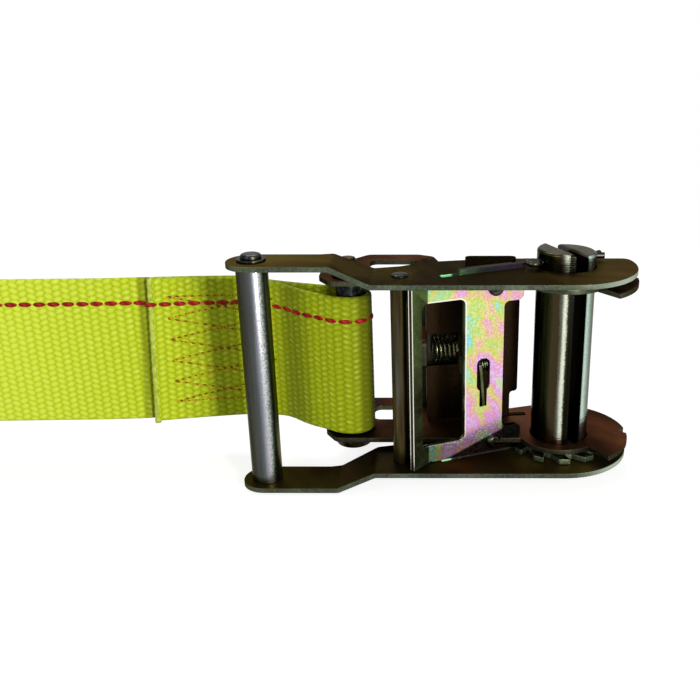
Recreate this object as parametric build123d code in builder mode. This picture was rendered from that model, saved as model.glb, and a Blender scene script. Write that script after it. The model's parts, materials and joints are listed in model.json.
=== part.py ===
from build123d import *
from math import asin, atan2, cos, degrees, radians, sin, sqrt, tan
import os

# Ratchet tie down: the fixed end of a 50 mm lashing, with its ratchet buckle folded shut.
# The frame's origin is on the spindle axis, half way between the side plates.
# +Z runs along the spindle, +X points away from the sewn strap, -Y is the handle's side.

# ---------------------------------------------------------------- driving sizes, in mm
webbing_width = 50.0
webbing_thickness = 2.0
base_sheet = 1.6            # side plates of the base
handle_sheet = 1.6          # side plates of the handle
pawl_sheet = 1.6            # both pawls
wheel_sheet = 1.8           # ratchet wheels

side_clear = 0.6            # webbing edge to base plate
run_clear = 0.25            # between faces that turn past one another
slide_clear = 0.35          # between a pawl and the slot that it slides in
fit_clear = 0.05            # rivets and bolts in their holes
seat = 0.02                 # how far a fixed end sinks into what carries it

spindle_radius = 9.1
slot_gap = 4.4              # the webbing slot between the spindle halves
slot_angle = -65.0          # direction of the webbing slot about Z

tooth_count = 12
wheel_tip_radius = 16.3
wheel_root_radius = 12.7

cam_radius = 22.3           # base plate round the spindle
cam_low_radius = 13.5       # its cut-back stretch, where the drive pawl works
cam_step_angle = -52.0      # where the low stretch ends
notch_angle = 3.0           # the V notch that holds the handle wide open
notch_depth = 2.6
notch_half_width = 2.0

base_length = 76.6          # spindle axis to the strap end of the base
base_near_y = -4.8
base_far_y = 28.0           # the raised back of the strap end
base_waist_y = 15.8         # far edge between that raised back and the cam
bolt_inset = 9.1            # strap bolt to the strap end of the base
strap_bolt_x = -(base_length - bolt_inset)
strap_bolt_y = 2.4
strap_bolt_radius = 3.0
bolt_sleeve_radius = 4.0
bolt_head_radius = 5.75
bolt_head_height = 3.2
bolt_tail_radius = 2.8
bolt_tail_height = 6.0

handle_end_radius = 21.8    # handle plate round the spindle
handle_length = 101.2       # spindle axis to the tip of the grip
handle_near_y = -handle_end_radius
handle_far_y = 8.0
grip_depth = 14.8           # the narrow, joggled-out part that the hand holds
grip_step = 5.3             # how far each grip plate stands out
grip_bend_x = -70.5         # outer end of the joggle
narrow_bend_x = -58.9       # inner end of the joggle
bend_radius = 2.5
grip_tube_radius = 4.75
tube_wall = 1.0
grip_rivet_radius = 2.2
grip_head_radius = 3.1
grip_head_height = 1.5
grip_washer_radius = 4.3
grip_washer_height = 0.8
spacer_x = -50.6
spacer_y = -12.6
spacer_radius = 3.0
spacer_rivet_radius = 1.6
spacer_head_radius = 2.5
spacer_head_height = 0.9

drive_angle = 22.3          # slope of the drive pawl's plane about Z
drive_offset = 3.0          # distance from the spindle axis to that plane
drive_travel = 5.5
drive_nose = 13.0           # distances along the plane, back from the axis
drive_ear_back = 34.6
drive_panel_front = 19.7
drive_arm_z = webbing_width / 2 - 3.9
drive_bend = 44.8
drive_window_front = 32.6
drive_window_half = webbing_width / 2 - 1.6
drive_window_cut = 3.1      # how far the window runs into the bent flange
flange_width = 7.7
flange_angle = 30.0         # the finger flange leans this much further to the front
ear_stand = 1.5             # how far the ears stand out of the handle plates
wing_far_y = 5.5            # the ears' bent wings end at this line, along the handle
wing_sheet = 1.1
wing_front = 17.6
wing_back = 32.4
wing_tip_near = 14.6        # ends of the wings' far edge, back from the axis
wing_tip_far = 31.0
tab_sheet = 1.2
stud_radius = 2.4
stud_past_slit = 0.093309   # the stud's middle lies this far past the end of the slit
stud_past_arm = 4.6         # and this far outward of the arm
stud_height = 1.5

lock_angle = 9.0            # slope of the lock pawl's plane
lock_offset = 15.75
lock_travel = 5.0
lock_nose = 7.6
lock_ear_back = 22.0
lock_panel_front = 10.6
lock_neck_front = 13.2
lock_back = 41.5
lock_arm_z = webbing_width / 2 - 8.5
lock_window_front = 31.0
lock_window_half = 5.6

bridge_sheet = 2.0
bridge_x = -43.2            # face of the bridge that the lock spring presses on
bridge_near_y = 20.0
bridge_far_y = 25.0
lug_near_y = 3.0
lug_half = 5.0
guard_sheet = 1.2           # plate on the lug that guards the spring from behind
guard_half = 8.5
guard_front = 28.5          # its front end, back along the lock pawl's plane
guard_clear = 0.4           # between the spring and that plate

spring_wire = 0.95
lock_spring_radius = 3.8    # to the middle of the wire
lock_spring_turns = 4
drive_spring_wire = 0.6
drive_spring_radius = 1.6
drive_spring_turns = 5
drive_seat_back = 30.6      # the handle's little cross bar behind the drive pawl
drive_seat_sheet = 1.2
tongue_half = 1.4
spring_end_clear = 0.15     # between a spring's end and its seat
drive_tab_front = 22.4      # the pawl's own tab that the drive spring presses on
keyhole_back = 26.4         # keyhole in the drive pawl's panel, and its narrow tail below
keyhole_z = -2.1
keyhole_width = 4.5
keyhole_height = 10.8
keyhole_tail = 5.4
clip_sheet = 0.8            # springy strip that stands in the keyhole

head_stand = 5.4            # spindle end above the upper handle plate
head_stand_short = 4.5
foot_stand = 1.5            # spindle flange under the lower handle plate
foot_lip = 0.8
cotter_radius = 1.15
cotter_height = 2.0         # cotter's axis above the handle plate
cotter_eye = 2.5

strap_tail_x = strap_bolt_x - 66.5      # raw end of the folded-back layer
strap_join_x = strap_bolt_x - 12.0      # where the back layer starts towards the loop
strap_route = [
    (strap_bolt_x - 132.5, 9.0),
    (strap_bolt_x - 82.5, 10.8),
    (strap_bolt_x - 54.5, 13.2),
    (strap_bolt_x - 34.5, 14.8),
]
strap_fall = [              # how the front layer comes forward from the sewing to the loop
    (strap_bolt_x - 9.1, strap_bolt_y - 0.9),
    (strap_bolt_x - 16.3, strap_bolt_y + 3.0),
    (strap_bolt_x - 22.5, strap_bolt_y + 8.9),
]
loop_shift = (0.3, 0.8)     # the strap's slack loop hangs a little off the bolt
loop_slack = 0.2            # least room between the loop and the sleeve

# ---------------------------------------------------------------- levels along the spindle
base_inner = webbing_width / 2 + side_clear
base_outer = base_inner + base_sheet
wheel_inner = base_outer + run_clear
wheel_outer = wheel_inner + wheel_sheet
handle_inner = wheel_outer + run_clear
handle_outer = handle_inner + handle_sheet
grip_inner = handle_inner + grip_step
grip_outer = handle_outer + grip_step

# ---------------------------------------------------------------- shared places
big = 400.0
grip_far_y = handle_near_y + grip_depth
grip_x = -handle_length + grip_depth / 2
grip_y = handle_near_y + grip_depth / 2

drive_dir = (cos(radians(drive_angle)), sin(radians(drive_angle)))
lock_dir = (cos(radians(lock_angle)), sin(radians(lock_angle)))


def slide_plane(direction, offset):
    """Plane of a pawl: x runs towards the wheel, y is +Z, and z faces the front."""
    c, s = direction
    return Plane(origin=(-s * offset, c * offset, 0), x_dir=(c, s, 0), z_dir=(s, -c, 0))


drive_plane = slide_plane(drive_dir, drive_offset)
lock_plane = slide_plane(lock_dir, lock_offset)


def on_slide(direction, offset, along, across=0.0):
    """XY place of a point given along a pawl's plane and across it."""
    c, s = direction
    return (along * c - (offset + across) * s, along * s + (offset + across) * c)


def rectangle_pair(back, front, low, high):
    """Two like rectangles in a pawl's plane, above and below the middle."""
    with Locations(*[(-(back + front) / 2, side * (low + high) / 2) for side in (1, -1)]):
        Rectangle(back - front, high - low)


# ================================================================ base
def base_outline():
    """Side plate of the base: a cam round the spindle, and a body out to the strap bolt."""
    with BuildSketch(Plane.XY.offset(base_inner), mode=Mode.PRIVATE) as outline:
        Polygon(
            (-base_length, strap_bolt_y - 1.0),
            (-base_length + 3.9, base_near_y),
            (-5, base_near_y),
            (-5, cam_radius - 0.3),
            (-lock_ear_back - lock_travel + 3.0, base_waist_y),
            (bridge_x + 4.8, base_waist_y),
            (bridge_x + 2.0, bridge_far_y + 0.5),
            (bridge_x - 3.0, base_far_y),
            (strap_bolt_x + 4.5, base_far_y),
            (-base_length, strap_bolt_y + 9.0),
            align=None,
        )
        fillet(outline.vertices().filter_by_position(Axis.X, -big, -6), radius=3.0)
        with BuildSketch(mode=Mode.PRIVATE) as cam:
            Circle(cam_radius)
            Polygon(
                (0, 0),
                *[(60 * cos(radians(a)), 60 * sin(radians(a))) for a in (-180, -135, -90, cam_step_angle)],
                align=None,
                mode=Mode.SUBTRACT,
            )
        add(cam.sketch)
        Circle(cam_low_radius)
        with Locations(Rot(Z=notch_angle) * Pos(cam_radius - notch_depth, 0)):
            Polygon(
                (0, 0),
                (notch_depth + 2, -notch_half_width * (notch_depth + 2) / notch_depth),
                (notch_depth + 2, notch_half_width * (notch_depth + 2) / notch_depth),
                align=None,
                mode=Mode.SUBTRACT,
            )
    return outline


lock_slot_back = lock_ear_back + lock_travel + slide_clear
lock_slot_front = lock_nose - slide_clear
window_left = strap_bolt_x + bolt_sleeve_radius + 1.8
window_right = bridge_x - bridge_sheet - 1.6

with BuildPart() as base_plate_upper:
    extrude(base_outline().sketch, amount=base_sheet)
    with BuildSketch(Plane.XY.offset(base_inner)):
        Circle(spindle_radius + run_clear)
        with Locations((strap_bolt_x, strap_bolt_y)):
            Circle(strap_bolt_radius + fit_clear)
        with Locations(((window_left + window_right) / 2, (strap_bolt_y + base_far_y) / 2)):
            RectangleRounded(window_right - window_left, 11.0, 2.5)
        with Locations((bridge_x - bridge_sheet / 2, (bridge_near_y + bridge_far_y) / 2)):
            Rectangle(bridge_sheet + 2 * fit_clear, bridge_far_y - bridge_near_y - 3.0)
        middle = on_slide(lock_dir, lock_offset, -(lock_slot_back + lock_slot_front) / 2)
        with Locations(Pos(*middle) * Rot(Z=lock_angle)):
            Rectangle(lock_slot_back - lock_slot_front, pawl_sheet + 2 * slide_clear)
    extrude(amount=base_sheet, mode=Mode.SUBTRACT)

with BuildPart() as base_plate_lower:
    mirror(base_plate_upper.part, about=Plane.XY)

# Cross bridge at the back, with a lug bent forward as the seat of the lock spring.
with BuildPart() as base_bridge:
    with BuildSketch(Plane.YZ.offset(bridge_x - bridge_sheet)):
        with Locations(((bridge_near_y + bridge_far_y) / 2, 0)):
            Rectangle(bridge_far_y - bridge_near_y, 2 * base_inner)
            Rectangle(bridge_far_y - bridge_near_y - 3.0 - 2 * fit_clear, 2 * (base_outer + 0.4))
        with Locations(((lug_near_y + bridge_near_y) / 2 + 0.5, 0)):
            Rectangle(bridge_near_y - lug_near_y + 1.0, 2 * lug_half)
    extrude(amount=bridge_sheet)
    front = base_bridge.edges().filter_by(Axis.X).group_by(Axis.Y)[0]
    fillet(front, radius=2.0)
    guard_behind = lock_spring_radius + spring_wire / 2 + guard_clear
    guard_root = (on_slide(lock_dir, lock_offset, 0, guard_behind)[0] - bridge_x) / lock_dir[0]
    guard_root = guard_root + guard_sheet * tan(radians(lock_angle)) + seat
    with BuildSketch(Plane(lock_plane.location * Pos(0, 0, -guard_behind))):
        with Locations((-(guard_front + guard_root) / 2, 0)):
            RectangleRounded(guard_root - guard_front, 2 * guard_half, 0.5)
    extrude(amount=-guard_sheet)

# Strap bolt: a shouldered pin with a flat head below and a peened tail above.
with BuildPart() as strap_bolt:
    with Locations((strap_bolt_x, strap_bolt_y, 0)):
        Cylinder(strap_bolt_radius, 2 * base_outer)
    with Locations((strap_bolt_x, strap_bolt_y, -base_outer)):
        Cylinder(bolt_head_radius, bolt_head_height, align=(Align.CENTER, Align.CENTER, Align.MAX))
    with Locations((strap_bolt_x, strap_bolt_y, base_outer)):
        Cylinder(bolt_tail_radius, bolt_tail_height, align=(Align.CENTER, Align.CENTER, Align.MIN))
    fillet(strap_bolt.edges().group_by(Axis.Z)[-1], radius=1.2)
    chamfer(strap_bolt.edges().group_by(Axis.Z)[0], length=0.4)

with BuildPart() as strap_bolt_washer:
    with BuildSketch(Plane.XY.offset(base_outer)):
        with Locations((strap_bolt_x, strap_bolt_y)):
            Circle(bolt_head_radius - 0.6)
            Circle(bolt_tail_radius + fit_clear, mode=Mode.SUBTRACT)
    extrude(amount=1.0)

with BuildPart() as strap_bolt_sleeve:
    with BuildSketch(Plane.XY.offset(-base_inner)):
        with Locations((strap_bolt_x, strap_bolt_y)):
            Circle(bolt_sleeve_radius)
            Circle(strap_bolt_radius + fit_clear, mode=Mode.SUBTRACT)
    extrude(amount=2 * base_inner)


# ================================================================ handle
def handle_profile():
    """Edge-on shape of the upper handle plate: flat, joggled outwards, flat again."""
    slope = atan2(grip_step, narrow_bend_x - grip_bend_x)
    shift = handle_sheet * tan(slope / 2)
    with BuildSketch(Plane.XZ, mode=Mode.PRIVATE) as profile:
        Polygon(
            (-handle_length - 5, grip_inner),
            (grip_bend_x - shift, grip_inner),
            (narrow_bend_x - shift, handle_inner),
            (handle_end_radius + 5, handle_inner),
            (handle_end_radius + 5, handle_outer),
            (narrow_bend_x, handle_outer),
            (grip_bend_x, grip_outer),
            (-handle_length - 5, grip_outer),
            align=None,
        )
        bends = profile.vertices().filter_by_position(Axis.X, grip_bend_x - 2, narrow_bend_x + 2)
        fillet(bends, radius=bend_radius)
    return profile


def handle_outline():
    """Broad face of a handle plate, round at the spindle and narrow at the grip."""
    with BuildSketch(mode=Mode.PRIVATE) as outline:
        Polygon(
            (-handle_length, handle_near_y),
            (0, handle_near_y),
            (0, handle_far_y),
            (-27.0, handle_far_y - 1.0),
            (-42.5, handle_far_y - 4.0),
            (-51.0, grip_far_y + 5.8),
            (-60.0, grip_far_y + 3.4),
            (grip_bend_x - 4.0, grip_far_y),
            (-handle_length, grip_far_y),
            align=None,
        )
        tip = outline.vertices().filter_by_position(Axis.X, -handle_length - 1, -handle_length + 1)
        fillet(tip, radius=grip_depth / 2 - 0.1)
        waist = outline.vertices().filter_by_position(Axis.X, grip_bend_x - 5, -26)
        fillet(waist, radius=4.0)
        with BuildSketch(mode=Mode.PRIVATE) as end:
            Circle(handle_end_radius)
            with Locations((0, handle_far_y)):
                Rectangle(big, big, align=(Align.CENTER, Align.MIN), mode=Mode.SUBTRACT)
            corners = end.vertices().group_by(Axis.Y)[-1]
            fillet(corners, radius=3.0)
        add(end.sketch)
    return outline


drive_slot_back = drive_ear_back + drive_travel + slide_clear
drive_slot_front = drive_nose - slide_clear

with BuildPart() as handle_plate_upper:
    extrude(handle_profile().sketch, amount=big / 2, dir=(0, 1, 0), both=True)
    extrude(handle_outline().sketch, amount=big / 2, dir=(0, 0, 1), mode=Mode.INTERSECT)
    with BuildSketch(Plane.XY.offset(handle_inner - 1)):
        Circle(spindle_radius + run_clear)
        with Locations((grip_x, grip_y)):
            Circle(grip_rivet_radius + fit_clear)
        with Locations((spacer_x, spacer_y)):
            Circle(spacer_rivet_radius + fit_clear)
        middle = on_slide(drive_dir, drive_offset, -(drive_slot_back + drive_slot_front) / 2)
        with Locations(Pos(*middle) * Rot(Z=drive_angle)):
            Rectangle(drive_slot_back - drive_slot_front, pawl_sheet + 2 * slide_clear)
    extrude(amount=grip_outer - handle_inner + 2, mode=Mode.SUBTRACT)

with BuildPart() as handle_plate_lower:
    mirror(handle_plate_upper.part, about=Plane.XY)


def tube_between(x, y, radius, bore, reach):
    """A tube standing between two plates, each `reach` from the middle plane."""
    with BuildPart() as tube:
        with BuildSketch(Plane.XY.offset(-reach)):
            with Locations((x, y)):
                Circle(radius)
                Circle(bore, mode=Mode.SUBTRACT)
        extrude(amount=2 * reach)
    return tube


def rivet_through(x, y, radius, reach, head_radius, head_height, top_gap=0.0):
    """A rivet with a low domed head outside each plate; top_gap leaves room for a washer."""
    with BuildPart() as rivet:
        with Locations((x, y, top_gap / 2)):
            Cylinder(radius, 2 * reach + top_gap)
        with Locations((x, y, reach + top_gap)):
            Cylinder(head_radius, head_height, align=(Align.CENTER, Align.CENTER, Align.MIN))
        with Locations((x, y, -reach)):
            Cylinder(head_radius, head_height * 0.7, align=(Align.CENTER, Align.CENTER, Align.MAX))
        fillet(rivet.edges().group_by(Axis.Z)[-1], radius=head_height * 0.6)
        fillet(rivet.edges().group_by(Axis.Z)[0], radius=head_height * 0.4)
    return rivet


grip_tube = tube_between(grip_x, grip_y, grip_tube_radius, grip_tube_radius - tube_wall, grip_inner)
grip_rivet = rivet_through(grip_x, grip_y, grip_rivet_radius, grip_outer,
                           grip_head_radius, grip_head_height, grip_washer_height)
spacer_tube = tube_between(spacer_x, spacer_y, spacer_radius, spacer_rivet_radius + fit_clear, handle_inner)
spacer_rivet = rivet_through(spacer_x, spacer_y, spacer_rivet_radius, handle_outer,
                             spacer_head_radius, spacer_head_height)

with BuildPart() as grip_washer:
    with BuildSketch(Plane.XY.offset(grip_outer)):
        with Locations((grip_x, grip_y)):
            Circle(grip_washer_radius)
            Circle(grip_rivet_radius + fit_clear, mode=Mode.SUBTRACT)
    extrude(amount=grip_washer_height)

# Cross bar behind the drive pawl, fixed in both handle plates: the seat of the drive spring.
drive_back_face = pawl_sheet / 2 + slide_clear
seat_bar_depth = 2.6
with BuildPart() as drive_spring_seat:
    with BuildSketch(Plane(drive_plane.location * Pos(-drive_seat_back, 0, 0) * Rot(Y=90))):
        with Locations((drive_back_face + seat_bar_depth / 2, 0)):
            Rectangle(seat_bar_depth, 2 * handle_inner)
        with Locations((drive_back_face + (seat_bar_depth + 2.0) / 2, 0)):
            Rectangle(seat_bar_depth + 2.0, 6.0)
    extrude(amount=-drive_seat_sheet)


# ================================================================ drive pawl
with BuildPart() as drive_pawl:
    # the broad sheet, its arms towards the wheels, and the ears that pass through the handle
    ear_top = handle_outer + ear_stand
    with BuildSketch(drive_plane) as sheet:
        with Locations((-(drive_bend + drive_panel_front) / 2, 0)):
            Rectangle(drive_bend - drive_panel_front, 2 * (handle_inner - slide_clear))
        rectangle_pair(drive_panel_front, drive_nose, drive_arm_z, handle_inner - slide_clear)
        inner = sheet.vertices().filter_by_position(Axis.Z, -drive_arm_z - 1, drive_arm_z + 1)
        fillet(inner, radius=1.8)
        rectangle_pair(drive_ear_back, drive_nose, handle_inner - 2, ear_top)
    extrude(amount=pawl_sheet / 2, both=True)

    # finger flange, leaning further to the front than the sheet that it is bent from
    bend = Plane(drive_plane.location * Pos(-drive_bend, 0, 0) * Rot(Y=flange_angle))
    with BuildSketch(bend) as flange:
        with Locations((-flange_width / 2, 0)):
            Rectangle(flange_width, 2 * (handle_inner - slide_clear))
        tips = flange.vertices().filter_by_position(Axis.X, -big, bend.origin.X - 1)
        fillet(tips, radius=2.5)
    extrude(amount=pawl_sheet / 2, both=True)
    with Locations(Location(bend)):
        Cylinder(pawl_sheet / 2, 2 * (handle_inner - slide_clear), rotation=(90, 0, 0))

    # finger window, and the keyhole whose lip hangs the spring tab
    window_back = drive_bend + drive_window_cut * cos(radians(flange_angle))
    with BuildSketch(drive_plane):
        with Locations((-(window_back + drive_window_front) / 2, 0)):
            RectangleRounded(window_back - drive_window_front, 2 * drive_window_half, 2.0)
        with Locations((-keyhole_back, keyhole_z)):
            RectangleRounded(keyhole_width, keyhole_height, keyhole_width * 0.42)
        with Locations((-keyhole_back, keyhole_z - keyhole_height / 2 - keyhole_tail / 2 + 0.5)):
            RectangleRounded(keyhole_width * 0.56, keyhole_tail + 1.0, 0.6)
        # the base plates pass through these slits while the handle swings
        slit_back = sqrt((cam_radius + slide_clear) ** 2 - (drive_offset - pawl_sheet) ** 2)
        slit_z = (base_inner + base_outer) / 2
        with Locations((-slit_back / 2, slit_z), (-slit_back / 2, -slit_z)):
            Rectangle(slit_back, base_sheet + 2 * run_clear)
    extrude(amount=flange_width + 3, both=True, mode=Mode.SUBTRACT)

    # tab bent back from the keyhole, which the drive spring presses on
    tab_depth = 4.6
    with BuildSketch(Plane(drive_plane.location * Pos(-drive_tab_front, 0, 0) * Rot(Y=90))):
        with Locations((tab_depth / 2, 0)):
            Rectangle(tab_depth, 5.0)
    extrude(amount=-tab_sheet)

    # springy strip that rises, leaning back, from the foot of the keyhole's tail
    clip_foot = keyhole_z - keyhole_height / 2 - keyhole_tail
    clip_length = keyhole_height + keyhole_tail - 2.0
    with BuildSketch(Plane(drive_plane.location * Pos(0, 0, pawl_sheet / 2))):
        with Locations(Pos(-keyhole_back + 0.3, clip_foot) * Rot(Z=5)):
            Rectangle(clip_sheet, clip_length, align=(Align.CENTER, Align.MIN))
    extrude(amount=-pawl_sheet - 0.15)

    # wings that fold back over the handle plates from the tops of the ears
    for level in (handle_outer + ear_stand - wing_sheet, -(handle_outer + ear_stand)):
        with BuildSketch(Plane.XY.offset(level)) as wing:
            Polygon(
                on_slide(drive_dir, drive_offset, -wing_front),
                (-wing_tip_near, wing_far_y),
                (-wing_tip_far, wing_far_y),
                on_slide(drive_dir, drive_offset, -wing_back),
                align=None,
            )
            fillet(wing.vertices().group_by(Axis.Y)[-1], radius=1.8)
        extrude(amount=wing_sheet)

# Two riveted studs that stiffen the pawl, one in front of each arm.
stud_z = drive_arm_z + stud_past_arm
stud_back = slit_back + stud_past_slit
with BuildPart() as pawl_stud_upper:
    with Locations(Location(Plane(drive_plane.location * Pos(-stud_back, stud_z, pawl_sheet / 2)))):
        Cylinder(stud_radius, stud_height, align=(Align.CENTER, Align.CENTER, Align.MIN))
    fillet(pawl_stud_upper.edges().sort_by(Axis.Y)[0], radius=stud_height * 0.7)
    # the slit for the base plate runs on through the stud's near half
    with BuildSketch(drive_plane):
        with Locations((-slit_back / 2, slit_z)):
            Rectangle(slit_back, base_sheet + 2 * run_clear)
    extrude(amount=pawl_sheet + stud_height, both=True, mode=Mode.SUBTRACT)

with BuildPart() as pawl_stud_lower:
    mirror(pawl_stud_upper.part, about=Plane.XY)


# ================================================================ lock pawl
# distance along the lock pawl's plane from the axis to the bridge's lug
lug_back = -bridge_x / cos(radians(lock_angle)) - lock_offset * tan(radians(lock_angle))

with BuildPart() as lock_pawl:
    pawl_half = base_inner - slide_clear
    nose_half = wheel_outer
    with BuildSketch(lock_plane) as sheet:
        with Locations((-(lock_back + lock_neck_front) / 2, 0)):
            Rectangle(lock_back - lock_neck_front, 2 * pawl_half)
        with Locations((-(lock_neck_front + lock_panel_front) / 2, 0)):
            Rectangle(lock_neck_front - lock_panel_front, 2 * lock_arm_z)
        step = sheet.vertices().filter_by_position(Axis.Z, -lock_arm_z - 1, lock_arm_z + 1)
        fillet(step, radius=1.2)
        rectangle_pair(lock_ear_back, lock_neck_front, pawl_half - 1, nose_half)
        rectangle_pair(lock_neck_front + 1, lock_nose, pawl_half, nose_half)
        # fork for the bridge's lug, with a tongue that guides the spring
        with Locations((-(lock_back + 1 + lock_window_front) / 2, 0)):
            Rectangle(lock_back + 1 - lock_window_front, 2 * lock_window_half, mode=Mode.SUBTRACT)
        # the tongue stops short of the lug when the pawl is drawn back
        tongue_length = lug_back - pawl_sheet - lock_travel - lock_window_front
        with Locations((-lock_window_front - tongue_length / 2 + 0.5, 0)):
            Rectangle(tongue_length + 1, 2 * tongue_half)
    extrude(amount=pawl_sheet / 2, both=True)


# ================================================================ springs
def coil_spring(place, length, radius, wire, turns):
    """A coil that runs along z of its place, with its wire just inside both ends."""
    with BuildPart() as coil:
        with BuildLine() as path:
            Helix(pitch=(length - wire) / turns, height=length - wire, radius=radius, center=(0, 0, wire / 2))
        with BuildSketch(Plane(path.line @ 0, z_dir=path.line % 0)):
            Circle(wire / 2)
        sweep(path=path.line)
    with BuildPart() as spring:
        with Locations(place.location):
            add(coil.part)
    return spring


# the lug stands square to X, so the spring's rim meets it first on one side
spring_back = lug_back - (lock_spring_radius + spring_wire / 2) * tan(radians(lock_angle))
lock_spring_place = Plane(
    lock_plane.location * Pos(-lock_window_front - spring_end_clear, 0, 0) * Rot(Y=-90)
)
lock_spring = coil_spring(lock_spring_place, spring_back - lock_window_front - 2 * spring_end_clear,
                          lock_spring_radius, spring_wire, lock_spring_turns)

drive_spring_across = pawl_sheet / 2 + drive_spring_radius + drive_spring_wire / 2 + 0.3
drive_spring_room = drive_seat_back - drive_seat_sheet - (drive_tab_front + tab_sheet)
drive_spring_place = Plane(
    drive_plane.location
    * Pos(-(drive_tab_front + tab_sheet) - spring_end_clear, 0, -drive_spring_across)
    * Rot(Y=-90)
)
drive_spring = coil_spring(drive_spring_place, drive_spring_room - 2 * spring_end_clear,
                           drive_spring_radius, drive_spring_wire, drive_spring_turns)


# ================================================================ spindle
def half_moon(radius, side):
    """Half of a round bar, with the webbing slot between it and the other half."""
    with BuildSketch(mode=Mode.PRIVATE) as moon:
        Circle(radius)
        with Locations(Rot(Z=slot_angle)):
            Rectangle(4 * radius, slot_gap, mode=Mode.SUBTRACT)
        with Locations(Rot(Z=slot_angle)):
            Rectangle(4 * radius, 4 * radius, align=(Align.CENTER, side), mode=Mode.SUBTRACT)
    return moon.sketch


def spindle_half(side, stand):
    """One half of the spindle, with a flange under the lower handle plate."""
    top = handle_outer + stand
    bottom = -(handle_outer + foot_stand)
    with BuildPart() as half:
        with BuildSketch(Plane.XY.offset(bottom)):
            add(half_moon(spindle_radius, side))
        extrude(amount=top - bottom)
        with BuildSketch(Plane.XY.offset(bottom)):
            add(half_moon(spindle_radius + foot_lip, side))
        extrude(amount=foot_stand - run_clear)
        fillet(half.edges().group_by(Axis.Z)[-1], radius=0.9)
        # bore for the cotter pin, square to the webbing slot
        with Locations(Pos(0, 0, cotter_z) * Rot(Z=slot_angle + 90) * Rot(Y=90)):
            Cylinder(cotter_radius + fit_clear, 4 * spindle_radius, mode=Mode.SUBTRACT)
    return half


cotter_z = handle_outer + cotter_height
spindle_half_left = spindle_half(Align.MIN, head_stand)
spindle_half_right = spindle_half(Align.MAX, head_stand_short)


def tooth_points(number):
    """One ratchet tooth: a ramp, a tip and a steep face parallel to the drive pawl."""
    pitch = 360 / tooth_count
    face = drive_offset + pawl_sheet / 2 + slide_clear
    turn = 180 + drive_angle + number * pitch
    root_face = turn - degrees(asin(face / wheel_root_radius))
    tip_face = turn - degrees(asin(face / wheel_tip_radius))
    places = [
        (wheel_root_radius, root_face - 0.66 * pitch),
        (wheel_tip_radius - 0.5, tip_face - 0.47 * pitch),
        (wheel_tip_radius, tip_face - 0.40 * pitch),
        (wheel_tip_radius, tip_face),
        (wheel_root_radius, root_face),
    ]
    return [(r * cos(radians(a)), r * sin(radians(a))) for r, a in places]


with BuildPart() as ratchet_wheel_upper:
    with BuildSketch(Plane.XY.offset(wheel_inner)):
        outline = [point for n in range(tooth_count) for point in tooth_points(n)]
        Polygon(*outline, align=None)
        add(half_moon(spindle_radius + fit_clear, Align.MIN), mode=Mode.SUBTRACT)
        add(half_moon(spindle_radius + fit_clear, Align.MAX), mode=Mode.SUBTRACT)
    extrude(amount=wheel_sheet)

with BuildPart() as ratchet_wheel_lower:
    mirror(ratchet_wheel_upper.part, about=Plane.XY)

# Cotter pin: an eye on one side, two legs spread on the other.
with BuildPart() as cotter_pin:
    cotter_place = Pos(0, 0, cotter_z) * Rot(Z=slot_angle + 90)
    reach = spindle_radius + 0.6
    with Locations(cotter_place * Rot(Y=90)):
        Cylinder(cotter_radius, 2 * reach)
    with Locations(cotter_place * Pos(-reach - cotter_eye + 0.4, 0, 0)):
        Torus(cotter_eye - 0.75, 0.8)
    for spread in (-18, 18):
        with Locations(cotter_place * Pos(reach - 0.3, 0, 0) * Rot(Z=spread) * Rot(Y=90)):
            Cylinder(cotter_radius * 0.62, 4.4, align=(Align.CENTER, Align.CENTER, Align.MIN))


# ================================================================ strap
loop_x = strap_bolt_x + loop_shift[0]
loop_y = strap_bolt_y + loop_shift[1]
loop_inner = bolt_sleeve_radius + sqrt(loop_shift[0] ** 2 + loop_shift[1] ** 2) + loop_slack
loop_radius = loop_inner + webbing_thickness / 2
loop_back_y = loop_y + loop_radius
loop_front_y = loop_y - loop_radius

strap_join = (strap_join_x, loop_back_y + 1.6)


def main_layer_y(x):
    """Where the strap's main layer runs at a place along its length."""
    for (x0, y0), (x1, y1) in zip(strap_route, strap_route[1:]):
        if x0 <= x <= x1:
            return y0 + (y1 - y0) * (x - x0) / (x1 - x0)


layer_step = webbing_thickness - seat
tail_route = [(x, y - layer_step) for x, y in reversed(strap_route) if x > strap_tail_x]

with BuildPart() as webbing_strap:
    with BuildSketch(Plane.XY.offset(-webbing_width / 2)):
        with BuildLine() as main_layer:
            FilletPolyline(*strap_route, strap_join, (loop_x, loop_back_y), radius=20.0)
        trace(main_layer.line, line_width=webbing_thickness)
        with BuildLine() as loop:
            CenterArc((loop_x, loop_y), loop_radius, -90, 180)
        trace(loop.line, line_width=webbing_thickness)
        # the folded-back layer lies against the main one from the join to its raw end
        with BuildLine() as tail:
            FilletPolyline((loop_x, loop_front_y), (loop_x - 4.0, loop_front_y + 0.3), *strap_fall, *tail_route,
                           (strap_tail_x, main_layer_y(strap_tail_x) - layer_step), radius=3.5)
        trace(tail.line, line_width=webbing_thickness)
    extrude(amount=webbing_width)


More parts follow.
